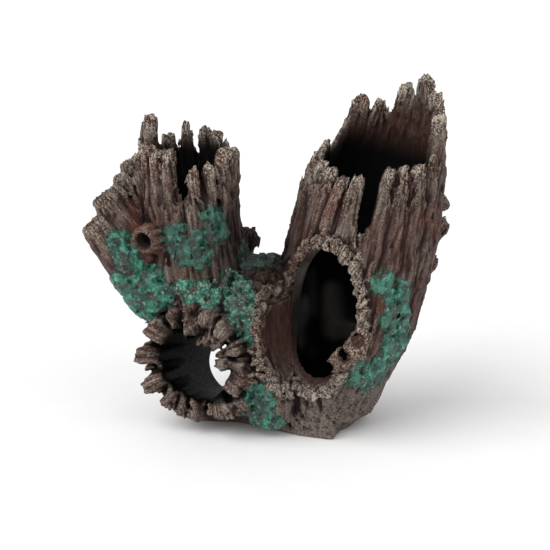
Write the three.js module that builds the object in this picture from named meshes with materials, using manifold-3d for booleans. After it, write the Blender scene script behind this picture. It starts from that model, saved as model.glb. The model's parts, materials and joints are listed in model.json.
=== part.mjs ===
// Hollow driftwood ornament for an aquarium: two broken hollow trunks in a V, a cave log through the foot,
// broken branch stubs and moss, all cast in resin and bonded. Millimetres, +Z up, front towards -Y.
// The origin is on the surface that the ornament stands on, under the middle of its outline.
import * as THREE from "three";
import { mergeVertices } from "three/addons/utils/BufferGeometryUtils.js";
import Module from "manifold-3d";

const wasm = await Module();
wasm.setup();

// ---- Driving dimensions ----
const BOND_GAP = 0.3; // glue line between any two castings
const SLAB_THICKNESS = 5; // flat ground base
const MOSS_THICKNESS = 1.6;
const COLLAR_THICKNESS = 3.2; // how far the oval mouth's collar stands out of the trunk
const GROOVE_DEPTH = 2.6; // between two slats of broken wood, at the rim
const NOTCH_DEPTH = 5; // how far the gap between two slats runs down from their ends

// The oval mouth leans, in degrees, and runs from the open air in front to inside the trunk.
const OVAL_MOUTH = { x: 31.5, z: 58, halfWidth: 15.5, halfHeight: 29, lean: 7, front: -60, back: -8 };
// Between these two depths the oval mouth widens towards the front, mostly to the left and down.
const FLARE = { from: -20, to: -34, left: 4.5, down: 3, width: 4.5, height: 4 };
const COLLAR = { width: 4.8, back: -12 };
const RIGHT_BORE = { wall: 6.8, from: 40, to: 165 };
const LEFT_BORE = { wall: 7.4, from: 40, to: 150 };
const CHAMBER = { centre: [27, -3, 36], radii: [18, 23, 26] }; // behind the oval mouth
const CAVE_TUNNEL = { from: [-21.5, -62, 40], to: [-24.5, 16, 14.5], radii: [17.5, 12] };
const PASSAGE = { from: [-24, -14, 28], to: [22, -6, 31], radii: [10.5, 10.5] }; // tunnel to chamber
const SADDLE = { centre: [-3, -9, 50], radii: [24, 29, 26] };

// A log is a list of stations along its length, [height, centre x, centre y, half width, half depth],
// and a ring of slats, [angle where it ends, height of its broken end], anticlockwise from +X.
const RIGHT_TRUNK = {
  stations: [
    [5.3, 24.5, -3, 20.8, 23.5],
    [26, 32.2, -3, 27.7, 30],
    [40, 34, -2, 29, 31.5],
    [55, 35.3, -1, 29.5, 33],
    [85, 38, 3, 34.8, 32],
    [106, 40.5, 6.5, 31.8, 30],
    [120, 44, 8, 29.3, 28],
    [134, 46.3, 8.5, 28, 26.5],
    [156, 49.2, 8.5, 25, 24],
  ],
  slats: [
    [24, 141],
    [44, 149],
    [72, 155],
    [98, 150.5],
    [124, 143.5],
    [148, 146],
    [158, 134],
    [182, 127.5],
    [205, 124],
    [227, 120.5],
    [246, 119.5],
    [261, 116.5],
    [278, 117.5],
    [290, 96],
    [302, 121.5],
    [320, 121.5],
    [340, 122.5],
    [356, 128],
  ],
};

const LEFT_TRUNK = {
  stations: [
    [48, -29, -14, 22, 22],
    [66, -32, -18, 23.5, 25],
    [86, -34, -19, 21.5, 24],
    [105, -36.8, -18, 21.3, 22],
    [122, -36.6, -17, 23.9, 22],
    [140, -36, -16, 24, 21.5],
  ],
  slats: [
    [22, 125.5],
    [42, 124.5],
    [60, 126.5],
    [80, 130],
    [98, 131],
    [105, 121.5],
    [123, 132.5],
    [150, 128],
    [163, 130],
    [183, 138.5],
    [200, 128],
    [220, 126],
    [241, 127],
    [259, 125.5],
    [275, 127],
    [288, 103],
    [311, 118.5],
    [335, 120],
    [353, 126],
  ],
};

// The cave log lies along the depth. Its height axis points to the front, so a station is
// [distance in front of the origin, centre x, centre z, half width, half height].
const CAVE_LOG = {
  stations: [
    [-7, -25, 25, 21, 20.5],
    [12, -25, 28.5, 24.5, 24],
    [30, -24.5, 33, 26, 27.5],
    [42, -24.5, 34, 25, 26.5],
    [54, -23.5, 35, 26.5, 26],
  ],
  slats: [
    [12, 46],
    [34, 49],
    [58, 51],
    [84, 49.5],
    [104, 45.5],
    [126, 46],
    [152, 50],
    [160, 43],
    [186, 50],
    [196, 43],
    [222, 48.5],
    [244, 44],
    [262, 43],
    [282, 44],
    [306, 42.5],
    [330, 44],
    [352, 49],
  ],
};

// Fingers of broken wood that lean in over the cave's mouth, each from its root to its tip.
const CAVE_FINGERS = [
  { from: [-15, -36, 55.5], to: [-25, -47, 49.4], radii: [4.8, 3.4] },
  { from: [-8.5, -37, 49], to: [-18, -47.5, 44.6], radii: [4.2, 2.7] },
  { from: [-5.5, -37, 45], to: [-13.6, -47, 42], radii: [3.8, 2.3] },
  { from: [-3.5, -37, 34.5], to: [-12.4, -46, 38], radii: [4, 2.6] },
  { from: [2, -37, 29], to: [-3.6, -47, 29.3], radii: [5, 3.6] },
  { from: [-1, -37, 17], to: [-12.5, -47, 16], radii: [5.5, 4.4] },
];

const FRONT_ROOT = { from: [7, -28, 5.4], to: [5.5, -29, 56], radii: [11, 9.5] };

// Broken branch ends. A socket is the radius of a hollow in the end.
const STUBS = {
  knot_collar: { from: [-41.5, -34, 88], to: [-46, -49.2, 88.5], radii: [7.4, 5.9], socket: 3.8 },
  left_branch_lower: { from: [-44.5, -34, 55.5], to: [-68, -50, 95.5], radii: [11, 6.4], socket: 3.2 },
  left_branch_upper: { from: [-47, -36, 78], to: [-66, -45, 107], radii: [8, 5.4], socket: 2.6 },
  shoulder_splinter_1: { from: [-46, -32, 80], to: [-63, -37, 109], radii: [7, 3.8] },
  shoulder_splinter_2: { from: [-46, -28, 84], to: [-62.4, -32, 113.5], radii: [7, 3.8] },
  shoulder_splinter_3: { from: [-46, -22, 88], to: [-61.5, -26, 118.5], radii: [7, 4] },
  rear_stub: { from: [-25, -5, 67], to: [-14.5, 8, 82.5], radii: [9, 4.6] },
  right_stub_upper: { from: [56, 22, 90], to: [67, 41, 97], radii: [6, 3.4] },
  right_stub_middle: { from: [55, 20, 77], to: [66.5, 40, 86], radii: [7.5, 4.6] },
  right_stub_lower: { from: [51, 16, 62], to: [64.5, 32, 71], radii: [7.5, 4.2] },
};

const SHELF_FUNGUS = [
  { from: [35.5, -35, 36.5], to: [45, -37, 43], radii: [3.6, 5.2] },
  { from: [45, -37, 42], to: [52, -33, 54.5], radii: [5.4, 4.4] },
];

// Moss lies on the bark where one of its blobs, [x, y, z, radius], touches it.
const MOSS = {
  moss_branch: [[-56, -49, 87, 4], [-53, -48, 82, 4.5], [-51, -48, 76, 4.5]],
  moss_left_flank: [[-53, -46, 67, 8], [-44, -43, 71, 5], [-41, -42, 63, 6], [-49, -42, 58, 8]],
  moss_left_front: [[-31, -42, 89, 5.5], [-26, -41, 85, 7], [-22, -39, 82, 5]],
  moss_left_high: [[-18, -32, 97, 4.5], [-17, -31, 91, 5]],
  moss_centre_left: [[-27.5, -41, 66, 4.4]],
  moss_centre: [[-18.5, -39, 65, 5.4]],
  moss_saddle: [[-8, -33, 69, 6], [-5, -36, 61, 6.5], [0, -38, 53, 6], [4, -38, 47, 4]],
  moss_saddle_top: [[-6, -12, 75.5, 9]],
  moss_right_flank: [
    [61, -18, 66, 6], [60, -17, 57, 7.5], [60, -15, 47, 8], [56, -17, 38, 7], [52, -19, 28, 6],
  ],
  moss_right_high: [[56, -24, 73, 4]],
  moss_right_low: [[47, -28, 32, 5.5]],
  moss_root: [[4, -38, 22, 5], [7, -39, 18, 4]],
  moss_base: [[-1, -34, 9.5, 5], [6, -37, 9, 5.5], [11, -37, 6, 4]],
};

const BASE_OUTLINE = [
  [-43, -20], [-32, -27], [-12, -22], [3, -25], [20, -28], [33, -22], [38, -12], [40, 8], [30, 20],
  [14, 23], [0, 15], [-20, 8], [-37, 6],
];
const FRONT_STEP = { x: [18, 36], y: [-28.5, -18], height: 8.5 };

const COLOURS = { bark: 0x5c4843, crust: 0xb9ae99, moss: 0x2f7358, base: 0x4f3e3a };

// ---- Solids ----
function toSolid(geometry) {
  const bare = new THREE.BufferGeometry();
  bare.setAttribute("position", geometry.getAttribute("position"));
  bare.setIndex(geometry.index);
  const merged = mergeVertices(bare, 1e-3);
  const vertProperties = new Float32Array(merged.attributes.position.array);
  const triVerts = new Uint32Array(merged.index.array);
  const made = new wasm.Manifold(new wasm.Mesh({ numProp: 3, vertProperties, triVerts }));
  if (made.volume() > 0) return made;
  for (let i = 0; i < triVerts.length; i += 3) {
    [triVerts[i + 1], triVerts[i + 2]] = [triVerts[i + 2], triVerts[i + 1]];
  }
  return new wasm.Manifold(new wasm.Mesh({ numProp: 3, vertProperties, triVerts }));
}

// A cut can leave loose crumbs; only the largest piece is the casting.
function largestPiece(solid) {
  return solid.decompose().reduce((best, piece) => (piece.volume() > best.volume() ? piece : best));
}

function toMesh(name, solid, colour) {
  const { vertProperties, numProp, triVerts } = largestPiece(solid).getMesh();
  const positions = new Float32Array((vertProperties.length / numProp) * 3);
  for (let i = 0; i < positions.length / 3; i++) {
    positions.set(vertProperties.subarray(i * numProp, i * numProp + 3), i * 3);
  }
  const geometry = new THREE.BufferGeometry();
  geometry.setAttribute("position", new THREE.BufferAttribute(positions, 3));
  geometry.setIndex(new THREE.BufferAttribute(new Uint32Array(triVerts), 1));
  geometry.computeVertexNormals();
  const material = new THREE.MeshStandardMaterial({ color: colour, roughness: 0.7, metalness: 0 });
  const mesh = new THREE.Mesh(geometry, material);
  mesh.name = name;
  return mesh;
}

function ball(centre, radii, detail = 1) {
  return toSolid(new THREE.IcosahedronGeometry(1, detail).scale(...radii).translate(...centre));
}

// ---- Logs ----
function stationAt(stations, height) {
  const last = stations.length - 1;
  const next = Math.min(Math.max(stations.findIndex((s) => s[0] > height), 1), last);
  const i = height >= stations[last][0] ? last : next;
  const [low, high] = [stations[i - 1], stations[i]];
  const t = THREE.MathUtils.clamp((height - low[0]) / (high[0] - low[0]), 0, 1);
  return low.map((value, k) => THREE.MathUtils.lerp(value, high[k], t));
}

// Each slat gives five columns: one at each edge, sunk into the notch, and three across its back.
function slatColumns(slats) {
  const columns = [[0.06, NOTCH_DEPTH], [0.27, 0.9], [0.5, 0], [0.73, 0.9], [0.94, NOTCH_DEPTH]];
  return slats.flatMap(([end, top], i) => {
    const start = i ? slats[i - 1][0] : slats.at(-1)[0] - 360;
    return columns.map(([across, drop]) => ({
      angle: THREE.MathUtils.degToRad(start + (end - start) * across),
      top: top - drop,
      sunk: drop === NOTCH_DEPTH,
    }));
  });
}

function pointOnLog(log, angle, height, scale, grow) {
  const [, cx, cy, rx, ry] = stationAt(log.stations, height);
  return [
    cx + ((rx + grow) * scale) * Math.cos(angle),
    cy + ((ry + grow) * scale) * Math.sin(angle),
  ];
}

// The whole log without its bore. grow moves its surface out, to cut a neighbour clear of it.
function logSolid(log, grow = 0) {
  const columns = slatColumns(log.slats);
  const shares = [0, 0.3, 0.6, 0.88, 1];
  const rows = shares.length + 3; // bottom centre, the shares, the inner rim and the top centre
  const profile = Array.from({ length: rows }, (_, j) => new THREE.Vector2(j && j < rows - 1 ? 1 : 0, j));
  const geometry = new THREE.LatheGeometry(profile, columns.length);
  const bottom = log.stations[0][0];
  const mean = columns.reduce((sum, c) => sum + c.top, 0) / columns.length;
  const position = geometry.getAttribute("position");
  for (let i = 0; i <= columns.length; i++) {
    const { angle, top, sunk } = columns[i % columns.length];
    for (let j = 0; j < rows; j++) {
      const at = i * rows + j;
      if (j === 0 || j === rows - 1) {
        const height = j ? mean + grow : bottom - grow;
        const [, cx, cy] = stationAt(log.stations, height);
        position.setXYZ(at, cx, cy, height);
        continue;
      }
      const share = shares[Math.min(j - 1, shares.length - 1)];
      const inner = j === rows - 2;
      const lift = share === 1 ? grow : share === 0 ? -grow : 0;
      const height = THREE.MathUtils.lerp(bottom, top, share) + lift;
      const groove = sunk ? -GROOVE_DEPTH * (0.15 + 0.85 * share ** 3) : 0;
      const tipRounding = share === 1 && !inner ? -1.2 : 0;
      const scale = inner ? 0.7 : 1;
      const [x, y] = pointOnLog(log, angle, height, scale, grow + groove + tipRounding);
      position.setXYZ(at, x, y, height);
    }
  }
  return toSolid(geometry);
}

// The bore of a log, from one height to another, with its wall taken off the radius.
function boreSolid(log, { wall, from, to }) {
  const [around, along] = [20, 5];
  const rows = along + 3;
  const profile = Array.from({ length: rows }, (_, j) => new THREE.Vector2(j && j < rows - 1 ? 1 : 0, j));
  const geometry = new THREE.LatheGeometry(profile, around);
  const position = geometry.getAttribute("position");
  for (let i = 0; i <= around; i++) {
    const angle = ((i % around) / around) * Math.PI * 2;
    for (let j = 0; j < rows; j++) {
      const height = THREE.MathUtils.lerp(from, to, THREE.MathUtils.clamp((j - 1) / along, 0, 1));
      const onAxis = j === 0 || j === rows - 1;
      const [x, y] = pointOnLog(log, angle, height, onAxis ? 0 : 1, -wall);
      position.setXYZ(i * rows + j, x, y, height);
    }
  }
  return toSolid(geometry);
}

// The cave log is built standing and laid down, its broken end to the front.
const layDown = (solid) => solid.transform(new THREE.Matrix4().makeRotationX(Math.PI / 2).elements);

// ---- Limbs: round tapered stubs, some with a hollow end ----
function limbSolid({ from, to, radii, socket }, grow = 0) {
  const [a, b] = [new THREE.Vector3(...from), new THREE.Vector3(...to)];
  const length = a.distanceTo(b);
  const radiusAt = (t) => THREE.MathUtils.lerp(radii[0], radii[1], t) + grow;
  const profile = [[0, -grow], [radiusAt(0) * 0.8, -grow], [radiusAt(0.15), 0.15 * length]];
  profile.push([radiusAt(0.5), 0.5 * length], [radiusAt(0.85), 0.85 * length]);
  profile.push([radiusAt(1) * 0.9, length - 0.8 + grow]);
  if (socket && !grow) profile.push([socket, length], [socket * 0.8, length - 4], [0, length - 4.5]);
  else profile.push([radiusAt(1) * 0.45, length + grow], [0, length + grow]);
  const geometry = new THREE.LatheGeometry(profile.map(([r, y]) => new THREE.Vector2(r, y)), 10);
  const turn = new THREE.Quaternion().setFromUnitVectors(
    new THREE.Vector3(0, 1, 0),
    b.clone().sub(a).normalize(),
  );
  return toSolid(geometry.applyQuaternion(turn).translate(a.x, a.y, a.z));
}

// ---- Openings ----
// An upright oval bar along the depth, flared at the mouth, from the open air in front to inside the trunk.
function ovalBar(extra, back) {
  const { x, z, halfWidth, halfHeight, lean, front } = OVAL_MOUTH;
  const rows = [[front, 1], [FLARE.to, 1], [FLARE.from, 0], [back, 0]];
  const geometry = new THREE.CylinderGeometry(1, 1, 1, 24, rows.length - 1);
  const position = geometry.getAttribute("position");
  for (let i = 0; i < position.count; i++) {
    const [depth, flare] = rows[Math.round((0.5 - position.getY(i)) * (rows.length - 1))];
    const across = position.getX(i) * (halfWidth + extra + FLARE.width * flare) - FLARE.left * flare;
    const up = position.getZ(i) * (halfHeight + extra + FLARE.height * flare) - FLARE.down * flare;
    position.setXYZ(i, across, depth, up);
  }
  return toSolid(geometry.rotateY(THREE.MathUtils.degToRad(lean)).translate(x, 0, z));
}

// A round bar between two points with a radius at each, for a tunnel.
function tunnel({ from, to, radii }) {
  const [a, b] = [new THREE.Vector3(...from), new THREE.Vector3(...to)];
  const turn = new THREE.Quaternion().setFromUnitVectors(
    new THREE.Vector3(0, 1, 0),
    b.clone().sub(a).normalize(),
  );
  const middle = a.clone().lerp(b, 0.5);
  const geometry = new THREE.CylinderGeometry(radii[1], radii[0], a.distanceTo(b), 20);
  return toSolid(geometry.applyQuaternion(turn).translate(middle.x, middle.y, middle.z));
}

const union = (solids) => solids.reduce((sum, solid) => sum.add(solid));

const openings = union([
  boreSolid(RIGHT_TRUNK, RIGHT_BORE),
  ball(CHAMBER.centre, CHAMBER.radii, 2),
  ovalBar(0, OVAL_MOUTH.back),
  tunnel(CAVE_TUNNEL),
  tunnel(PASSAGE),
  boreSolid(LEFT_TRUNK, LEFT_BORE),
]);

// ---- Castings, each cut clear of the ones before it ----
const cutClear = (solid, ...others) => solid.subtract(union(others)).subtract(openings);

function baseSlab(grow = 0) {
  const outline = new THREE.Shape(BASE_OUTLINE.map(([x, y]) => new THREE.Vector2(x, y)));
  const plate = new THREE.ExtrudeGeometry(outline, { depth: SLAB_THICKNESS + grow, bevelEnabled: false });
  const { x, y, height } = FRONT_STEP;
  const step = new THREE.BoxGeometry(x[1] - x[0] + 2 * grow, y[1] - y[0] + 2 * grow, height + grow);
  step.translate((x[0] + x[1]) / 2, (y[0] + y[1]) / 2, (height + grow) / 2);
  return toSolid(plate).add(toSolid(step));
}

function saddle(grow = 0) {
  return ball(SADDLE.centre, SADDLE.radii.map((radius) => radius + grow), 2);
}

const caveFingers = (grow) => union(CAVE_FINGERS.map((limb) => limbSolid(limb, grow)));

// The castings' outer forms, moved out by grow on every side.
const outerForms = (grow) => ({
  base: baseSlab(grow),
  right: logSolid(RIGHT_TRUNK, grow).add(logSolid(RIGHT_TRUNK)),
  cave: layDown(logSolid(CAVE_LOG, grow)).add(caveFingers(grow)),
  left: logSolid(LEFT_TRUNK, grow).add(logSolid(LEFT_TRUNK)),
  saddle: saddle(grow),
  root: limbSolid(FRONT_ROOT, grow),
});
const grown = outerForms(BOND_GAP);

const castings = {
  base_slab: baseSlab().subtract(openings),
  right_trunk: cutClear(logSolid(RIGHT_TRUNK), grown.base),
  cave_log: cutClear(layDown(logSolid(CAVE_LOG)), grown.base, grown.right),
  left_trunk: cutClear(logSolid(LEFT_TRUNK), grown.cave, grown.right),
  saddle_root: cutClear(saddle(), grown.base, grown.right, grown.cave, grown.left),
};
castings.cave_log = castings.cave_log.add(caveFingers(0).subtract(grown.base).subtract(grown.right));
castings.front_root = cutClear(
  limbSolid(FRONT_ROOT), grown.base, grown.right, grown.cave, grown.left, grown.saddle,
);

const group = new THREE.Group();
for (const [name, solid] of Object.entries(castings)) {
  group.add(toMesh(name, solid, name === "base_slab" ? COLOURS.base : COLOURS.bark));
}

// The stubs are bonded on one after another, each cut clear of the castings and of the stubs before it.
let taken = union(Object.values(grown));
for (const [name, limb] of Object.entries(STUBS)) {
  group.add(toMesh(name, limbSolid(limb).subtract(taken), COLOURS.bark));
  taken = taken.add(limbSolid(limb, BOND_GAP));
}

// A skin of one thickness over everything so far: crust and moss are pieces of it.
const skin = (thickness) => union([
  ...Object.values(outerForms(BOND_GAP + thickness)),
  ...Object.values(STUBS).map((limb) => limbSolid(limb, BOND_GAP + thickness)),
]).subtract(taken);

// The collar runs round the oval mouth on the bark.
const collar = (grow) => skin(COLLAR_THICKNESS + grow)
  .intersect(ovalBar(COLLAR.width + grow, COLLAR.back));
group.add(toMesh("mouth_collar", collar(0).subtract(openings), COLOURS.crust));

const shelf = (grow) => union(SHELF_FUNGUS.map((limb) => limbSolid(limb, grow)));
group.add(toMesh("shelf_fungus", shelf(0).subtract(taken).subtract(collar(BOND_GAP)), COLOURS.crust));

// Pads are laid one after another, each cut clear of the ones before it.
const collarRoom = ovalBar(COLLAR.width + BOND_GAP, COLLAR.back);
let covered = union([openings, collarRoom, shelf(BOND_GAP)]);
const mossSkin = skin(MOSS_THICKNESS);
for (const [name, blobs] of Object.entries(MOSS)) {
  const patch = (grow) => union(
    blobs.map(([x, y, z, radius]) => ball([x, y, z], Array(3).fill(radius + grow))),
  );
  group.add(toMesh(name, mossSkin.intersect(patch(0)).subtract(covered), COLOURS.moss));
  covered = covered.add(patch(BOND_GAP));
}

export default group;
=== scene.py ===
import json
import math
from itertools import product

import bpy
import numpy as np
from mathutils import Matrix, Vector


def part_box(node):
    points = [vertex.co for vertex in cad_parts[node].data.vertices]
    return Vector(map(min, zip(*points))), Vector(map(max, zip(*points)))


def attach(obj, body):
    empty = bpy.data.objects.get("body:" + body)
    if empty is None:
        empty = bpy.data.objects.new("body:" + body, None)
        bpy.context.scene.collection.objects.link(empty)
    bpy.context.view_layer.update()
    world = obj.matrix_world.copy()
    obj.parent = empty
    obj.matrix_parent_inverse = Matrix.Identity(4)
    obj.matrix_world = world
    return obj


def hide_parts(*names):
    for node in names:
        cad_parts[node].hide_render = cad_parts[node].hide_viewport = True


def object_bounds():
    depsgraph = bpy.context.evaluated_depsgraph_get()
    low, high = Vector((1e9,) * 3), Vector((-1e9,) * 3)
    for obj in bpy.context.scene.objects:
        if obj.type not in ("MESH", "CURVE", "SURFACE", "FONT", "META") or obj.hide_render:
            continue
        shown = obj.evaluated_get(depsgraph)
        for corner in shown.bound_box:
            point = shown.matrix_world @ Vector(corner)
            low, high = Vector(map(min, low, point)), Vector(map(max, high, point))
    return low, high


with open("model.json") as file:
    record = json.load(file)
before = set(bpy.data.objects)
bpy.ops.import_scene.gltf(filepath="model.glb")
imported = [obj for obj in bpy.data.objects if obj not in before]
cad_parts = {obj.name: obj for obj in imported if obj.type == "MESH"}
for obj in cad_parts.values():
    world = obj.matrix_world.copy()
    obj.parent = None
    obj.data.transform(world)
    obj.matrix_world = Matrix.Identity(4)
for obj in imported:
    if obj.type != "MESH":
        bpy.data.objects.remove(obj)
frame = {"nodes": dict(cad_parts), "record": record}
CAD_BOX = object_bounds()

import openvdb as vdb
from mathutils import Vector

# Every piece is carved as a distance field in millimetres: the CAD nodes are blended into one field, wood
# fibres, pits and crust are cut into it, and it is parted again along the nodes and turned into meshes.
MM = 1000.0  # millimetres in a metre, which is the frame's unit
VOXEL = 0.7
MARGIN = 7.0  # how far the grid reaches past the CAD box
REACH = 5.0  # how far from a surface a field still holds a true distance
LOW = np.array(CAD_BOX[0]) * MM - MARGIN
SHAPE = tuple(int(math.ceil(s)) + 1 for s in (np.array(CAD_BOX[1]) * MM + MARGIN - LOW) / VOXEL)

# The CAD nodes, by kind. The order of WOOD is the order in which they are blended.
TRUNKS = ["right_trunk", "left_trunk"]
CAVE = "cave_log"
LOGS = [*TRUNKS, CAVE]
ROOTS = ["saddle_root", "front_root"]
BRANCHES = ["left_branch_lower", "left_branch_upper"]
SPLINTERS = [f"shoulder_splinter_{number}" for number in (1, 2, 3)]
RIGHT_STUBS = [f"right_stub_{height}" for height in ("upper", "middle", "lower")]
KNOT = "knot_collar"
STUBS = [*BRANCHES, *SPLINTERS, "rear_stub", *RIGHT_STUBS, KNOT]
COLLAR = "mouth_collar"
SHELF = "shelf_fungus"
CRUST = [COLLAR, SHELF]
GROUND = "base_slab"
WOOD = [*LOGS, *ROOTS, *STUBS, *CRUST, GROUND]
MOSS = sorted(name for name in frame["nodes"] if name.startswith("moss_"))

SLOTS = {entry["node"]: entry["material_slot"] for entry in frame["record"]["subparts"]}
HOLLOWS = {
    opening["name"]: np.array(opening["box_m"], np.float32) * MM
    for opening in frame["record"]["physics"]["openings"]
}
CHAMBERS = ["oval_mouth", "right_chamber", "right_chamber_deep", "right_chamber_wide", "oval_mouth_tall"]


# ---- Numbers on the grid ----
def smoothstep(low, high, value):
    """0 at low and 1 at high, eased in between. low may be the larger of the two."""
    t = np.clip((value - low) / (high - low), 0, 1)
    return t * t * (3 - 2 * t)


def blur(values, sigma):
    """A Gaussian blur, sigma in millimetres."""
    radius = max(1, int(round(2.2 * sigma / VOXEL)))
    taps = np.exp(-0.5 * (np.arange(-radius, radius + 1) * VOXEL / sigma) ** 2)
    taps /= taps.sum()
    for axis in range(3):
        padding = [(radius, radius) if other == axis else (0, 0) for other in range(3)]
        padded = np.pad(values, padding, mode="edge")
        total = np.zeros_like(values)
        for start, tap in enumerate(taps):
            part = [slice(None)] * 3
            part[axis] = slice(start, start + values.shape[axis])
            total += np.float32(tap) * padded[tuple(part)]
        values = total
    return values


def sample(values, points, first=(0, 0, 0)):
    """A grid's values at points in millimetres. first is the voxel that the grid starts at."""
    at = (points - LOW) / VOXEL - first
    at = np.clip(at, 0, np.array(values.shape) - 1.001).astype(np.float32)
    base = at.astype(np.int32)
    share = at - base
    sides = (1 - share, share)
    _, rows, columns = values.shape
    start = (base[:, 0] * rows + base[:, 1]) * columns + base[:, 2]
    flat = values.ravel()
    total = np.zeros(len(at))
    for dx, dy, dz in product((0, 1), repeat=3):
        weight = sides[dx][:, 0] * sides[dy][:, 1] * sides[dz][:, 2]
        total += weight * flat[start + (dx * rows + dy) * columns + dz]
    return total


NOISE_SIZE = 128
NOISE_WAVE = 6.0  # the main wavelength of the block of noise, in steps of the block


def noise_block():
    """A block of smooth noise that repeats, of spread 1."""
    white = np.random.default_rng(7).standard_normal((NOISE_SIZE,) * 3).astype(np.float32)
    across = np.fft.fftfreq(NOISE_SIZE) * NOISE_WAVE
    along = np.fft.rfftfreq(NOISE_SIZE) * NOISE_WAVE
    frequency = np.sqrt(across[:, None, None] ** 2 + across[None, :, None] ** 2 + along ** 2)
    waves = np.fft.rfftn(white) * np.exp(-((frequency - 0.8) / 0.3) ** 2)
    block = np.fft.irfftn(waves, s=(NOISE_SIZE,) * 3, axes=(0, 1, 2))
    return (block / block.std()).astype(np.float32)


NOISE = noise_block().ravel()


def noise(points, wavelength, shift=0):
    """Smooth noise of spread 1 at points. wavelength is one number, or one for each axis."""
    offset = np.float32(shift * 17.37 + 400)
    at = points / np.asarray(wavelength, np.float32) * np.float32(NOISE_WAVE) + offset
    base = np.floor(at).astype(np.int32)
    share = at - base
    sides = (1 - share, share)
    corners = (base % NOISE_SIZE, (base + 1) % NOISE_SIZE)
    total = np.zeros(len(at))
    for dx, dy in product((0, 1), repeat=2):
        row = (corners[dx][:, 0] * NOISE_SIZE + corners[dy][:, 1]) * NOISE_SIZE
        low = NOISE[row + corners[0][:, 2]]
        high = NOISE[row + corners[1][:, 2]]
        total += sides[dx][:, 0] * sides[dy][:, 1] * (sides[0][:, 2] * low + sides[1][:, 2] * high)
    return total


# ---- Fields of the CAD nodes ----
def node_mesh(name):
    """A node's points in voxels and its triangles."""
    mesh = frame["nodes"][name].data
    mesh.calc_loop_triangles()
    points = np.empty(len(mesh.vertices) * 3, np.float32)
    mesh.vertices.foreach_get("co", points)
    triangles = np.empty(len(mesh.loop_triangles) * 3, np.int32)
    mesh.loop_triangles.foreach_get("vertices", triangles)
    points = (points.reshape(-1, 3) * MM - LOW) / VOXEL
    return points.astype(np.float32), triangles.reshape(-1, 3).astype(np.uint32)


def node_field(name):
    """The part of the grid round a node, as slices, and the distance to the node there."""
    points, triangles = node_mesh(name)
    level = vdb.FloatGrid.createLevelSetFromPolygons(points, triangles=triangles, halfWidth=REACH / VOXEL)
    low = np.maximum(np.floor(points.min(0) - REACH / VOXEL).astype(int), 0)
    high = np.minimum(np.ceil(points.max(0) + REACH / VOXEL).astype(int) + 1, SHAPE)
    values = np.empty(tuple(high - low), np.float32)
    level.copyToArray(values, ijk=tuple(int(v) for v in low))
    return tuple(slice(a, b) for a, b in zip(low, high)), values * VOXEL


def node_distance(names):
    """Distance to the nearest of some nodes, all over the grid."""
    nearest = np.full(SHAPE, REACH, np.float32)
    for name in names:
        part, field = node_field(name)
        nearest[part] = np.minimum(nearest[part], field)
    return nearest


def smooth_min(a, b, k):
    """The smaller of two fields, rounded off where they differ by less than k."""
    h = np.maximum(k - np.abs(a - b), 0) / k
    return np.minimum(a, b) - h * h * h * (k / 6)


def points_of(part):
    """The points of a part of the grid, in one list."""
    axes = [np.arange(s.start, s.stop, dtype=np.float32) * VOXEL + LOW[i] for i, s in enumerate(part)]
    return np.stack(np.meshgrid(*axes, indexing="ij"), -1).astype(np.float32).reshape(-1, 3)


def box_of(name):
    """A node's lowest and highest corners."""
    low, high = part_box(name)
    return np.array(low) * MM, np.array(high) * MM


def near_hollows(points, names):
    """Distance from points to the nearest of some hollows."""
    nearest = np.full(len(points), 99.0, np.float32)
    for name in names:
        low, high = HOLLOWS[name]
        gap = np.maximum(np.maximum(low - points, points - high), 0)
        nearest = np.minimum(nearest, np.sqrt((gap * gap).sum(1)))
    return nearest


# ---- Grain ----
# The axis that a node's fibres follow most, and the way along it to the broken end. In a node that isn't
# listed they follow its longest way, upwards.
UP = (2, 1)
FRONT = (1, -1)
RIGHT = (0, 1)
FIBRES = {
    **dict.fromkeys([*TRUNKS, *ROOTS], UP),
    **dict.fromkeys([CAVE, KNOT, COLLAR], FRONT),
    GROUND: RIGHT,
}

TURN = 2  # degrees between the places where the height of a log's rim is kept
TURNS = np.radians(np.arange(0, 360, TURN))
RIM_WINDOW = math.radians(3)  # how far to each side of such a place the rim's points count
SLAT_WINDOW = 12 // TURN  # and how many places to each side are compared to find the gaps between slats
RIM_ABOVE = 20  # points that aren't this much above a log's lowest point aren't on its rim
STUB_TIP = 3  # the end of a stub is this long


def angles(q):
    """Where local points lie round the line that the fibres follow."""
    return np.arctan2(q[:, 1], q[:, 0])


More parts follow.
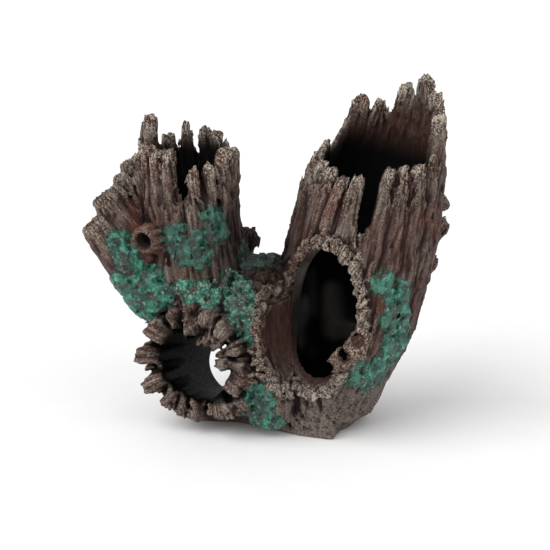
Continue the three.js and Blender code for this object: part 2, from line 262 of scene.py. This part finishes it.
class Grain:
    """Where a node's fibres run. Local points are two distances across the fibres and one along them."""

    def __init__(self, name):
        points, _ = node_mesh(name)
        points = points * VOXEL + LOW
        self.centre = points.mean(0)
        self.axis = self.direction(name, points)
        level = [0.0, 1.0, 0.0] if abs(self.axis[1]) < 0.9 else [1.0, 0.0, 0.0]
        side = np.cross(self.axis, level)
        self.side = side / np.linalg.norm(side)
        self.other = np.cross(self.axis, self.side)
        if name in STUBS:
            height = (points - self.centre) @ self.axis
            self.centre = points[height > height.max() - STUB_TIP].mean(0)
        q = self.local(points.astype(np.float32))
        self.rim = self.log_rim(q) if name in LOGS else np.full(len(TURNS), q[:, 2].max())
        beside = [np.roll(self.rim, k) for k in range(-SLAT_WINDOW, SLAT_WINDOW + 1)]
        self.notches = np.max(beside, axis=0) - self.rim

    def direction(self, name, points):
        """The way the fibres run, towards the broken end, of length 1."""
        away = points - self.centre
        if name in FIBRES:
            axis, sign = FIBRES[name]
            height = away[:, axis]
            direction = sign * away.T @ height / (height @ height)
        else:
            longest = np.linalg.svd(away, full_matrices=False)[2][0]
            direction = longest if longest[2] > 0 else -longest
        return direction / np.linalg.norm(direction)

    def log_rim(self, q):
        """How high a log's broken end reaches, at each place round it."""
        gap = np.abs((angles(q)[None] - TURNS[:, None] + math.pi) % math.tau - math.pi)
        rim = np.where(gap < RIM_WINDOW, q[None, :, 2], -np.inf).max(1)
        seen = rim > q[:, 2].min() + RIM_ABOVE
        return np.interp(TURNS, TURNS[seen], rim[seen], period=math.tau)

    def local(self, points):
        """Points as local points."""
        basis = np.stack([self.side, self.other, self.axis]).astype(np.float32)
        return (points - self.centre.astype(np.float32)) @ basis.T

    def to_end(self, q):
        """How far local points are below the broken end on their own side of the log."""
        return np.interp(angles(q), TURNS, self.rim, period=math.tau).astype(np.float32) - q[:, 2]

    def between_slats(self, q):
        """How deep the wood is cut between two slats, most at the broken end."""
        notch = np.interp(angles(q), TURNS, self.notches, period=math.tau).astype(np.float32)
        return 1.1 * smoothstep(1.5, 5, notch) * smoothstep(24, 3, self.to_end(q))


# ---- Patterns that are cut into the surface, as depths in millimetres ----
MOUTH_LOW, MOUTH_HIGH = box_of(COLLAR)
SHELF_LOW, SHELF_HIGH = box_of(SHELF)
PEBBLE = (0.08, 0.64)  # shares of the collar's width and height
CUPS = [((0.74, 0.74), 3.6), ((0.47, 0.42), 3.4), ((0.14, 0.14), 2.6)]  # the same of the shelf, and a radius


def wood_carving(q, ends):
    """Fibres, splits and holes at local points. ends is 1 at a broken end and 0 far from one."""
    warp = np.stack([noise(q, (15, 15, 26), shift) for shift in (6, 7, 8)], 1)
    q = q + warp * np.array([1.1, 1.1, 3], np.float32)
    wide = noise(q, (5.6, 5.6, 52), 9)
    middle = noise(q, (2.9, 2.9, 26), 10)
    fine = noise(q, (1.6, 1.6, 12), 11)
    lumps = noise(q, (6, 6, 9), 12)
    splits = smoothstep(0.4, 0.0, np.abs(wide)) * (0.35 + 0.75 * ends)
    cracks = smoothstep(0.45, 0.0, np.abs(middle)) * (0.6 + 0.4 * ends)
    pits = smoothstep(1.3, 2.1, noise(q, (2.3, 2.3, 3.4), 13))
    holes = smoothstep(2.0, 2.6, noise(q, (3.8, 3.8, 6), 14))
    grit = noise(q, 1.8, 15)
    depth = 0.95 * splits + 0.55 * cracks - 0.3 * middle + 0.3 * fine + 0.3 * lumps + 0.2 * ends * grit
    return depth * (0.85 + 0.3 * ends) + (0.25 + 0.3 * ends) * pits + (0.3 + 0.6 * ends) * holes - 0.3


def ground_carving(p):
    """Small lumps and pits."""
    return 0.3 * noise(p, 4.0, 30) + 0.25 * noise(p, 1.9, 31) + 0.4 * smoothstep(1.2, 2.0, noise(p, 2.6, 32))


def on_front(low, high, shares):
    """A place on the front of a box, from shares of its width and height."""
    return low[[0, 2]] + (high - low)[[0, 2]] * np.array(shares)


def front_distance(p, place):
    """Distance to a place as seen from the front."""
    return np.linalg.norm(p[:, [0, 2]] - place, axis=1)


def over_mouth(p):
    """How far to the right and up points lie from the middle of the oval mouth; 1 is its collar's edge."""
    right, _, up = ((2 * p - MOUTH_LOW - MOUTH_HIGH) / (MOUTH_HIGH - MOUTH_LOW)).T
    return right, up


def mouth_lip(p):
    """1 on the slope that leads into the oval mouth, inside its collar."""
    return smoothstep(0.92, 0.8, np.hypot(*over_mouth(p))) * smoothstep(-8, -16, p[:, 1])


def shelf_cups(p):
    """1 in the cups of the shelf fungus, which open to the front."""
    inside = 0
    for shares, radius in CUPS:
        centre = on_front(SHELF_LOW, SHELF_HIGH, shares)
        inside = inside + smoothstep(radius, radius - 1.1, front_distance(p, centre))
    return inside * smoothstep(SHELF_HIGH[1] - 2, SHELF_HIGH[1] - 5, p[:, 1])


def crust_carving(p):
    """Knobs, pores and a pebble, rungs down the right side of the oval mouth, and the shelf's cups."""
    right, up = over_mouth(p)
    side = smoothstep(0.35, 0.6, right) * smoothstep(0.75, 0.5, np.abs(up))
    rungs = np.cos(np.arctan2(up, right) * 46 + 1.5 * noise(p, 7, 23))
    knobs = 0.8 * np.abs(noise(p, 4.8, 20)) + 0.45 * np.abs(noise(p, 2.4, 21))
    pores = smoothstep(0.9, 1.7, noise(p, 2.6, 22))
    pebble = smoothstep(3.4, 0.8, front_distance(p, on_front(MOUTH_LOW, MOUTH_HIGH, PEBBLE)))
    depth = 0.75 - knobs * (1 - 0.4 * side) - 0.4 * rungs * side + 1.2 * pores
    return depth - 2.0 * pebble + 2.6 * shelf_cups(p)


# ---- Carving, by kind of node ----
# A bore turns black between these depths below the highest point of its broken end.
DARK_INSIDE = {"right_trunk": (26, 44), "left_trunk": (12, 24), CAVE: (6, 18)}


class Patch:
    """A node's share of the blended surface. sturdy is 1, and falls to a half on thin edges."""

    def __init__(self, name, points, slope, sturdy):
        self.name = name
        self.grain = GRAINS[name]
        self.points = points
        self.slope = slope
        self.sturdy = sturdy
        self.q = self.grain.local(points)
        self.across = np.hypot(self.q[:, 0], self.q[:, 1])
        self.below_end = self.grain.to_end(self.q)
        self.ends = smoothstep(24, 6, self.below_end)


def in_hollow(patch):
    """1 in the hollows that run through a node."""
    return smoothstep(6.5, 3.5, near_hollows(patch.points, HOLLOWS))


def worn_by_mouth(patch, cut, rust):
    """Smooths the wood near the ground and on the lip of the oval mouth, which is painted reddish."""
    lip = mouth_lip(patch.points)
    near_ground = smoothstep(44, 20, patch.points[:, 2])
    return cut * (1 - 0.5 * np.maximum(lip, near_ground)), np.maximum(rust, lip)


# Each function below returns three numbers for each point of a patch: how deep it is cut, how black it is
# painted and how reddish it is painted.
def carve_log(patch):
    """A tube, carved outside and in, with broken slats round its end."""
    q = patch.q
    radial = q[:, :2] / (np.linalg.norm(q[:, :2], axis=1, keepdims=True) + 1e-6)
    outward = radial @ np.stack([patch.grain.side, patch.grain.other]).astype(np.float32)
    within = smoothstep(0.15, -0.35, (patch.slope * outward).sum(1))
    black = within * smoothstep(*DARK_INSIDE[patch.name], q[:, 2].max() - q[:, 2])
    rust = within * smoothstep(3, 15, patch.below_end)
    cut = wood_carving(q, patch.ends)
    if patch.name == "right_trunk":
        cut, rust = worn_by_mouth(patch, cut, rust)
    cut = cut * (1 - black) * patch.sturdy
    if patch.name == CAVE:
        low_left = smoothstep(0.3, 0.9, -0.4 * patch.slope[:, 0] - patch.slope[:, 2])
        cut = cut * (1 - 0.45 * patch.ends) - 1.6 * patch.ends * low_left * (1 - within)
    return cut + patch.grain.between_slats(q) * (1 + within), black, rust


def carve_root(patch):
    """Solid wood next to the oval mouth, with no broken end."""
    black = in_hollow(patch)
    no_ends = np.zeros(len(patch.points))
    cut, rust = worn_by_mouth(patch, wood_carving(patch.q, no_ends), black)
    return cut * (1 - black) * patch.sturdy, black, rust


def carve_stub(patch):
    """Solid wood with a broken end."""
    black = in_hollow(patch)
    cut = wood_carving(patch.q, patch.ends) * (1 - black) * patch.sturdy
    return cut, black, black


def carve_branch(patch):
    """A stub with a hole in its broken end."""
    cut, black, rust = carve_stub(patch)
    hole = 3.2 * smoothstep(3.9, 2.6, patch.across) * smoothstep(8, 4, patch.below_end)
    return 0.5 * cut + hole, black, rust


def carve_knot(patch):
    """A ring with a deeper hollow, reddish and then black."""
    cut, _, _ = carve_stub(patch)
    black = smoothstep(3.4, 2.2, patch.across) * smoothstep(0.5, 3, patch.below_end)
    rust = smoothstep(4.6, 3.4, patch.across)
    return 0.3 * cut + 1.2 * smoothstep(4.2, 3.2, patch.across), black, rust


def carve_crust(patch):
    """Crust is never painted black."""
    rust = 0.4 * mouth_lip(patch.points)
    if patch.name == SHELF:
        rust = rust + shelf_cups(patch.points)
    return crust_carving(patch.points) * patch.sturdy, np.zeros(len(patch.points)), rust


def carve_ground(patch):
    """The lowest stretch isn't cut, so that the base stands flat."""
    black = in_hollow(patch)
    cut = ground_carving(patch.points) * (1 - black) * patch.sturdy
    return cut * smoothstep(0.5, 2.5, patch.points[:, 2]), black, black


CARVERS = {
    **dict.fromkeys(LOGS, carve_log),
    **dict.fromkeys(ROOTS, carve_root),
    **dict.fromkeys(STUBS, carve_stub),
    **dict.fromkeys(BRANCHES, carve_branch),
    **dict.fromkeys(CRUST, carve_crust),
    KNOT: carve_knot,
    GROUND: carve_ground,
}

# ---- The blended and carved body ----
CARVED = 3.4  # how far from a surface the carving is worked out
BLEND = {**dict.fromkeys(WOOD, 3.0), CAVE: 6.0, COLLAR: 1.6, SHELF: 1.6, GROUND: 2.0}


def blend_nodes():
    """One field of all the wood, and the distances to the nearest node and to the one after it."""
    body, nearest, second = (np.full(SHAPE, REACH, np.float32) for _ in range(3))
    for name, (part, field) in FIELDS.items():
        body[part] = smooth_min(body[part], field, BLEND[name])
        second[part] = np.minimum(second[part], np.maximum(nearest[part], field))
        nearest[part] = np.minimum(nearest[part], field)
    return blur(body, 0.9) - 0.15, nearest, second


def carve(body, nearest):
    """The carved body, and where it is painted black and reddish inside.

    The carving of each node fades into its neighbours' over about a millimetre.
    """
    shell = np.abs(body) < CARVED
    index = np.full(SHAPE, -1, np.int32)
    index[shell] = np.arange(shell.sum())
    points = np.argwhere(shell).astype(np.float32) * VOXEL + LOW.astype(np.float32)
    slope = np.stack([g[shell] for g in np.gradient(body, VOXEL)], 1)
    slope /= np.linalg.norm(slope, axis=1, keepdims=True) + 1e-6
    sturdy = 0.5 + 0.5 * smoothstep(1.5, 0.5, (blur(body, 2.5) - body)[shell])
    sums = np.zeros((3, len(points)), np.float32)
    weights = np.full(len(points), 1e-6, np.float32)
    for name, (part, field) in FIELDS.items():
        here = (index[part] >= 0) & (field < nearest[part] + 2.4)
        chosen = index[part][here]
        weight = np.exp(-(field - nearest[part])[here] / 0.5)
        patch = Patch(name, points[chosen], slope[chosen], sturdy[chosen])
        for total, values in zip(sums, CARVERS[name](patch)):
            total[chosen] += (weight * values).astype(np.float32)
        weights[chosen] += weight
    grids = np.zeros((3, *SHAPE), np.float32)
    grids[:, shell] = sums / weights
    cut, black, rust = grids
    return np.clip(body + cut, -REACH, REACH), black, rust


GRAINS = {name: Grain(name) for name in WOOD}
FIELDS = {name: node_field(name) for name in WOOD}
body, nearest, second = blend_nodes()
carved, black_inside, rust_inside = carve(body, nearest)
relief = blur(carved, 1.1) - carved
hollow = blur(carved, 3.0) - carved


# ---- Meshes ----
def biggest_shell(points, quads):
    """Drops every loose crumb and closed bubble: only the shell with the most points stays."""
    label = np.arange(len(points))
    edges = np.concatenate([quads[:, [0, 1]], quads[:, [1, 2]], quads[:, [2, 3]]]).astype(np.int64)
    before = None
    while not np.array_equal(label, before):
        before = label.copy()
        lowest = np.minimum(label[edges[:, 0]], label[edges[:, 1]])
        np.minimum.at(label, edges[:, 0], lowest)
        np.minimum.at(label, edges[:, 1], lowest)
        label = label[label]
    keep = label == np.bincount(label).argmax()
    new = np.cumsum(keep) - 1
    return points[keep], new[quads[keep[quads[:, 0]]]]


def to_piece(node, values, first):
    """A closed mesh of the zero surface of a block of values, and its points. first is its first voxel."""
    grid = vdb.FloatGrid(background=REACH)
    grid.copyFromArray(np.ascontiguousarray(values), ijk=(0, 0, 0))
    points, _, quads = grid.convertToPolygons(0, 0)
    points, quads = biggest_shell(points, quads)
    points = (points + first) * VOXEL + LOW
    mesh = bpy.data.meshes.new("look_" + node)
    mesh.vertices.add(len(points))
    mesh.vertices.foreach_set("co", (points / MM).astype(np.float32).ravel())
    mesh.loops.add(quads.size)
    mesh.loops.foreach_set("vertex_index", quads[:, ::-1].ravel().astype(np.int32))
    mesh.polygons.add(len(quads))
    mesh.polygons.foreach_set("loop_start", np.arange(0, quads.size, 4, dtype=np.int32))
    mesh.polygons.foreach_set("use_smooth", np.ones(len(quads), bool))
    mesh.update(calc_edges=True)
    mesh.validate()
    points = np.empty(len(mesh.vertices) * 3, np.float32)
    mesh.vertices.foreach_get("co", points)
    piece = bpy.data.objects.new("look_" + node, mesh)
    bpy.context.scene.collection.objects.link(piece)
    return piece, points.reshape(-1, 3) * MM


def paint(piece, **layers):
    """Stores numbers at a piece's points, for its material to read."""
    for key, values in layers.items():
        vector = values.ndim == 2
        layer = piece.data.attributes.new(key, "FLOAT_VECTOR" if vector else "FLOAT", "POINT")
        layer.data.foreach_set("vector" if vector else "value", values.astype(np.float32).ravel())


def place(piece, node):
    """Puts a piece with its material in the place of a node."""
    slot = SLOTS[node]
    piece.data.materials.append(MATERIALS[slot])
    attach(piece, "root")
    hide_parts(node)


# ---- Materials ----
BUMP_DISTANCE = 0.0004  # in metres


class Graph:
    """Builds a material's nodes; each method returns a socket."""

    def __init__(self, name):
        self.material = bpy.data.materials.new(name)
        self.material.use_nodes = True
        self.nodes = self.material.node_tree.nodes
        self.links = self.material.node_tree.links
        self.shader = self.nodes["Principled BSDF"]

    def add(self, kind, inputs, output, **settings):
        node = self.nodes.new(kind)
        for key, value in settings.items():
            setattr(node, key, value)
        for key, value in inputs.items():
            if isinstance(value, bpy.types.NodeSocket):
                self.links.new(value, node.inputs[key])
            else:
                node.inputs[key].default_value = value
        return node.outputs[output]

    def layer(self, name, output="Fac"):
        return self.add("ShaderNodeAttribute", {}, output, attribute_name=name)

    def math(self, operation, a, b, clamp=False):
        return self.add("ShaderNodeMath", {0: a, 1: b}, 0, operation=operation, use_clamp=clamp)

    def times(self, a, b, clamp=False):
        return self.math("MULTIPLY", a, b, clamp)

    def plus(self, a, b, clamp=False):
        return self.math("ADD", a, b, clamp)

    def step(self, value, low, high, to_low=0.0, to_high=1.0):
        inputs = {"Value": value, "From Min": low, "From Max": high, "To Min": to_low, "To Max": to_high}
        return self.add("ShaderNodeMapRange", inputs, "Result", interpolation_type="SMOOTHSTEP")

    def mix(self, share, a, b):
        return self.add("ShaderNodeMix", {"Factor": share, 6: a, 7: b}, 2, data_type="RGBA")

    def noise(self, vector, scale, detail=3.0, roughness=0.55):
        inputs = {"Vector": vector, "Scale": scale, "Detail": detail, "Roughness": roughness}
        return self.add("ShaderNodeTexNoise", inputs, "Fac")

    def stretch(self, vector, scale):
        return self.add("ShaderNodeVectorMath", {0: vector, 1: scale}, 0, operation="MULTIPLY")

    def finish(self, colour, roughness, height, bump):
        inputs = {"Strength": bump, "Distance": BUMP_DISTANCE, "Height": height}
        normal = self.add("ShaderNodeBump", inputs, "Normal")
        for key, socket in {"Base Color": colour, "Roughness": roughness, "Normal": normal}.items():
            self.links.new(socket, self.shader.inputs[key])
        return self.material


def srgb(red, green, blue):
    """A screen colour of 0 to 255 as the linear colour that a shader wants."""
    channels = [c / 255 for c in (red, green, blue)]
    return (*[c / 12.92 if c <= 0.04045 else ((c + 0.055) / 1.055) ** 2.4 for c in channels], 1.0)


BLACK = srgb(6, 6, 6)
DARK = srgb(24, 18, 17)
BROWN = srgb(58, 40, 35)
MAUVE = srgb(93, 73, 68)
RUST = srgb(54, 35, 30)
RED = srgb(88, 50, 43)
# Dark grey of the chamber walls, made lighter to stand in for light reaching them: partly painted light.
CHAMBER_SLATE_AND_LIGHT = srgb(88, 84, 82)
GREY = srgb(118, 111, 106)
CREAM = srgb(196, 187, 170)
DEEP_TEAL = srgb(13, 48, 40)
TEAL = srgb(42, 124, 101)
PALE_TEAL = srgb(126, 178, 162)
PALE_GREEN = srgb(168, 182, 166)


def bark_colour(g, fibres, speckle, spot):
    """Brown and mauve along the fibres, with red and grey patches, dark in the grooves and specks."""
    patches = g.noise(spot, 0.06)
    colour = g.mix(g.step(fibres, 0.38, 0.66), BROWN, MAUVE)
    colour = g.mix(g.step(patches, 0.54, 0.68, 0.0, 0.7), colour, RED)
    colour = g.mix(g.step(patches, 0.48, 0.34, 0.0, 0.3), colour, GREY)
    colour = g.mix(g.times(g.layer("foot"), g.step(speckle, 0.4, 0.56)), colour, GREY)
    colour = g.mix(g.times(g.layer("groove"), 0.9), colour, DARK)
    return g.mix(g.step(speckle, 0.4, 0.32, 0.0, 0.45), colour, DARK)


def brush_cream(g, colour, grain, spot, cream):
    """Cream brushed on what stands out, most on broken ends and crust, which also get dark grit."""
    grit = g.noise(spot, 1.25, 3, 0.8)
    streaks = g.noise(g.stretch(grain, (1, 1, 0.14)), 1.1, 4, 0.6)
    rough = g.plus(g.layer("tip"), g.layer("crusty"), clamp=True)
    colour = g.mix(g.times(rough, g.step(grit, 0.46, 0.38)), colour, DARK)
    amount = g.plus(g.times(g.layer("tip"), 0.65), g.times(g.layer("crusty"), 0.4))
    stipple = g.plus(g.times(streaks, 0.4), g.times(grit, 0.6))
    brushed = g.times(g.layer("ridge"), g.step(stipple, 0.47, 0.58))
    return g.mix(g.times(brushed, g.plus(amount, cream), clamp=True), colour, CREAM)


def wood_material(name, cream):
    """Painted bark, stained teal next to moss, darkened by painted shade between the trunks and painted dark
    inside hollows.
    """
    g = Graph(name)
    grain = g.layer("grain", "Vector")
    spot = g.layer("spot", "Vector")
    fibres = g.noise(g.stretch(grain, (1, 1, 0.08)), 0.9, 4)
    speckle = g.noise(spot, 0.9, 3, 0.7)
    colour = brush_cream(g, bark_colour(g, fibres, speckle, spot), grain, spot, cream)
    stained = g.times(g.layer("mossy"), g.step(g.noise(spot, 0.3), 0.42, 0.58))
    teal = g.mix(g.step(speckle, 0.4, 0.62), DEEP_TEAL, TEAL)
    colour = g.mix(g.times(stained, 0.85), colour, teal)
    # Painted shade: bark in the dip between the trunks is mixed towards black.
    colour = g.mix(g.times(g.layer("shade"), 0.7), colour, BLACK)
    colour = g.mix(g.times(g.layer("rust"), 0.8), colour, RUST)
    # Inside hollows: black paint, and in the chambers dark grey lightened as painted light.
    colour = g.mix(g.layer("inner"), colour, g.mix(g.layer("deep"), BLACK, CHAMBER_SLATE_AND_LIGHT))
    g.shader.inputs["Specular IOR Level"].default_value = 0.06
    height = g.plus(fibres, g.times(speckle, 0.6))
    return g.finish(colour, g.step(speckle, 0.3, 0.7, 0.45, 0.7), height, 0.6)


def moss_material(name):
    """Painted moss: teal, deep in its pits, with pale tips and flecks."""
    g = Graph(name)
    spot = g.layer("spot", "Vector")
    speckle = g.noise(spot, 0.8, 3, 0.7)
    colour = g.mix(g.step(g.noise(spot, 0.22), 0.4, 0.62), DEEP_TEAL, TEAL)
    colour = g.mix(g.times(g.layer("groove"), 0.8), colour, DEEP_TEAL)
    colour = g.mix(g.step(speckle, 0.44, 0.36, 0.0, 0.75), colour, DEEP_TEAL)
    tips = g.times(g.layer("ridge"), g.step(speckle, 0.44, 0.6))
    colour = g.mix(g.times(tips, 0.75), colour, PALE_TEAL)
    colour = g.mix(g.step(g.noise(spot, 0.16, 2), 0.56, 0.64, 0.0, 0.3), colour, MAUVE)
    colour = g.mix(g.times(g.layer("crusty"), g.step(speckle, 0.5, 0.66)), colour, PALE_GREEN)
    # Painted shade: moss between the trunks, and on the dimmed moss pieces, is mixed towards black.
    colour = g.mix(g.times(g.layer("shade"), 0.8), colour, BLACK)
    return g.finish(colour, g.step(speckle, 0.3, 0.7, 0.4, 0.65), speckle, 0.8)


def floor_material():
    g = Graph("floor")
    grain = g.noise(g.add("ShaderNodeTexCoord", {}, "Object"), 40.0)
    g.links.new(g.mix(grain, srgb(246, 246, 246), srgb(250, 250, 250)), g.shader.inputs["Base Color"])
    g.shader.inputs["Roughness"].default_value = 0.9
    return g.material


MATERIALS = {
    "bark_resin": wood_material("bark_resin", cream=0.14),
    "crust_resin": wood_material("crust_resin", cream=0.18),
    "ground_resin": wood_material("ground_resin", cream=0.12),
    "moss_resin": moss_material("moss_resin"),
}

# ---- Wood pieces ----
OVERLAP = 0.2  # how far a piece runs on under its neighbour, so that no gap shows
WRAPPED = [*LOGS, COLLAR]  # nodes whose brush strokes run round them at an even width
# How much cream the broken end of a node gets.
TIPS = {
    **dict.fromkeys(TRUNKS, 1.0),
    **dict.fromkeys([*ROOTS, *CRUST, GROUND], 0.0),
    **dict.fromkeys(STUBS, 0.6),
    KNOT: 0.2,
    CAVE: 0.35,
}
MOSS_NEAR = node_distance(MOSS)
CRUST_NEAR = node_distance(CRUST)
# The middle of the painted shade between the trunks.
SHADE_CENTRE = sum(box_of("moss_saddle_top")) / 2


def shade(points, far, near):
    """Painted shade: 1 in the shadowy dip between the trunks, where bark and moss are painted darker, fading
    out from near to far.
    """
    return smoothstep(far, near, np.linalg.norm(points - SHADE_CENTRE, axis=1))


def brush_strokes(name, q):
    """Local points for the strokes of the brush."""
    strokes = q.copy()
    if name in WRAPPED:
        across = np.hypot(q[:, 0], q[:, 1])
        strokes[:, :2] *= (np.median(across) / (across + 1e-3))[:, None]
    return strokes


def paint_wood(piece, name, points):
    near = sample(relief, points)
    wide = sample(hollow, points)
    q = GRAINS[name].local(points)
    below_end = GRAINS[name].to_end(q)
    paint(
        piece,
        grain=brush_strokes(name, q),
        spot=points,
        groove=np.clip(0.8 * smoothstep(0.0, -0.26, near) + 0.6 * smoothstep(-0.1, -0.9, wide), 0, 1),
        ridge=np.clip(smoothstep(0.0, 0.16, near) + 0.3 * smoothstep(0.1, 0.8, wide), 0, 1),
        tip=(0.3 * smoothstep(30, 8, below_end) + 0.7 * smoothstep(9, 2, below_end)) * TIPS[name],
        crusty=smoothstep(4.5, 0.5, sample(CRUST_NEAR, points)),
        mossy=smoothstep(4.0, 0.3, sample(MOSS_NEAR, points)),
        # painted shade between the trunks
        shade=shade(points, 42, 12),
        foot=0.75 * smoothstep(46, 20, points[:, 2]) * smoothstep(0, 14, points[:, 0]),
        # near the chambers, whose dark grey inside is lightened as painted light
        deep=smoothstep(8, 2, near_hollows(points, CHAMBERS)),
        inner=np.clip(sample(black_inside, points), 0, 1),
        rust=np.clip(sample(rust_inside, points), 0, 1),
    )


def add_wood(name):
    """Cuts a node's piece out of the carved body, halfway to each neighbour."""
    part, field = FIELDS[name]
    rival = np.where(field <= nearest[part], second[part], nearest[part])
    values = np.maximum(carved[part], (field - rival) / 2 - OVERLAP)
    piece, points = to_piece(name, values, [s.start for s in part])
    paint_wood(piece, name, points)
    place(piece, name)


# ---- Moss pieces ----
FLECKED = ["moss_centre", "moss_centre_left", "moss_saddle"]
# Painted shade laid over these whole moss pieces, which sit in shadow.
MOSS_PAINTED_SHADE = {"moss_left_front": 0.6, "moss_left_high": 0.6, "moss_saddle": 0.35}


def add_moss(name):
    """A ragged, lumpy skin that follows the carved body and sinks a little into it."""
    part, field = node_field(name)
    p = points_of(part)
    ragged = field + (1.3 * noise(p, 5.5, 40) + 0.8 * noise(p, 2.6, 41)).reshape(field.shape) + 0.5
    fine = noise(p, 1.7, 42) * noise(p, 1.7, 43)
    lumps = (0.15 * noise(p, 3.2, 44) + 0.22 * fine).reshape(field.shape)
    thick = (0.9 + lumps) * smoothstep(2.2, 0.6, ragged) - 0.15
    bark = carved[part]
    values = np.maximum(np.maximum(bark - thick, -bark - 1.0), field - 2.4)
    first = [s.start for s in part]
    piece, points = to_piece(name, values, first)
    tall = sample(np.clip(thick, 0, 3), points, first)
    bump = sample(lumps, points, first)
    paint(
        piece,
        spot=points,
        groove=smoothstep(0.05, -0.35, bump),
        ridge=smoothstep(0.0, 0.4, bump) * smoothstep(0.2, 0.8, tall),
        crusty=np.full(len(points), 0.55 if name in FLECKED else 0.15),
        # painted shade: the larger of the shade between the trunks and the piece's own share
        shade=np.maximum(shade(points, 20, 8), MOSS_PAINTED_SHADE.get(name, 0.0)),
    )
    place(piece, name)


# ---- Camera, lights and floor ----
def aim(thing, at, target):
    """Puts a camera or a light in a place, turned to a target."""
    thing.location = at
    thing.rotation_euler = (Vector(target) - Vector(at)).to_track_quat("-Z", "Y").to_euler()
    bpy.context.scene.collection.objects.link(thing)


def add_camera():
    lens = bpy.data.cameras.new("camera")
    lens.lens = 100.8
    lens.sensor_width = 36.0
    camera = bpy.data.objects.new("camera", lens)
    azimuth = math.radians(20)
    elevation = math.radians(15)
    level = math.cos(elevation)
    back = Vector((math.sin(azimuth) * level, -math.cos(azimuth) * level, math.sin(elevation)))
    target = Vector((-0.0015, 0.0, 0.065))
    distance = 0.7
    aim(camera, target + back * distance, target)
    bpy.context.scene.camera = camera


def add_sun(name, at, strength, softness):
    """A far soft light from a direction; softness is how many degrees wide it looks."""
    data = bpy.data.lights.new(name, "SUN")
    data.energy = strength
    data.angle = math.radians(softness)
    aim(bpy.data.objects.new(name, data), at, (0, 0, 0.07))


def add_sky(strength):
    world = bpy.data.worlds.new("world")
    world.use_nodes = True
    background = world.node_tree.nodes["Background"].inputs
    background["Color"].default_value = (1, 1, 1, 1)
    background["Strength"].default_value = strength
    bpy.context.scene.world = world


def add_floor():
    bpy.ops.mesh.primitive_plane_add(size=6, location=(0, 0, 0))
    floor = bpy.context.object
    floor.name = "floor"
    floor.data.materials.append(floor_material())


for name in WOOD:
    add_wood(name)
for name in MOSS:
    add_moss(name)
add_camera()
add_floor()
add_sun("key", (-0.6, -0.75, 0.95), 2.1, 60)
add_sun("fill", (0.8, -0.5, 0.7), 0.5, 60)
add_sky(0.62)
bpy.context.scene.view_settings.view_transform = "Standard"
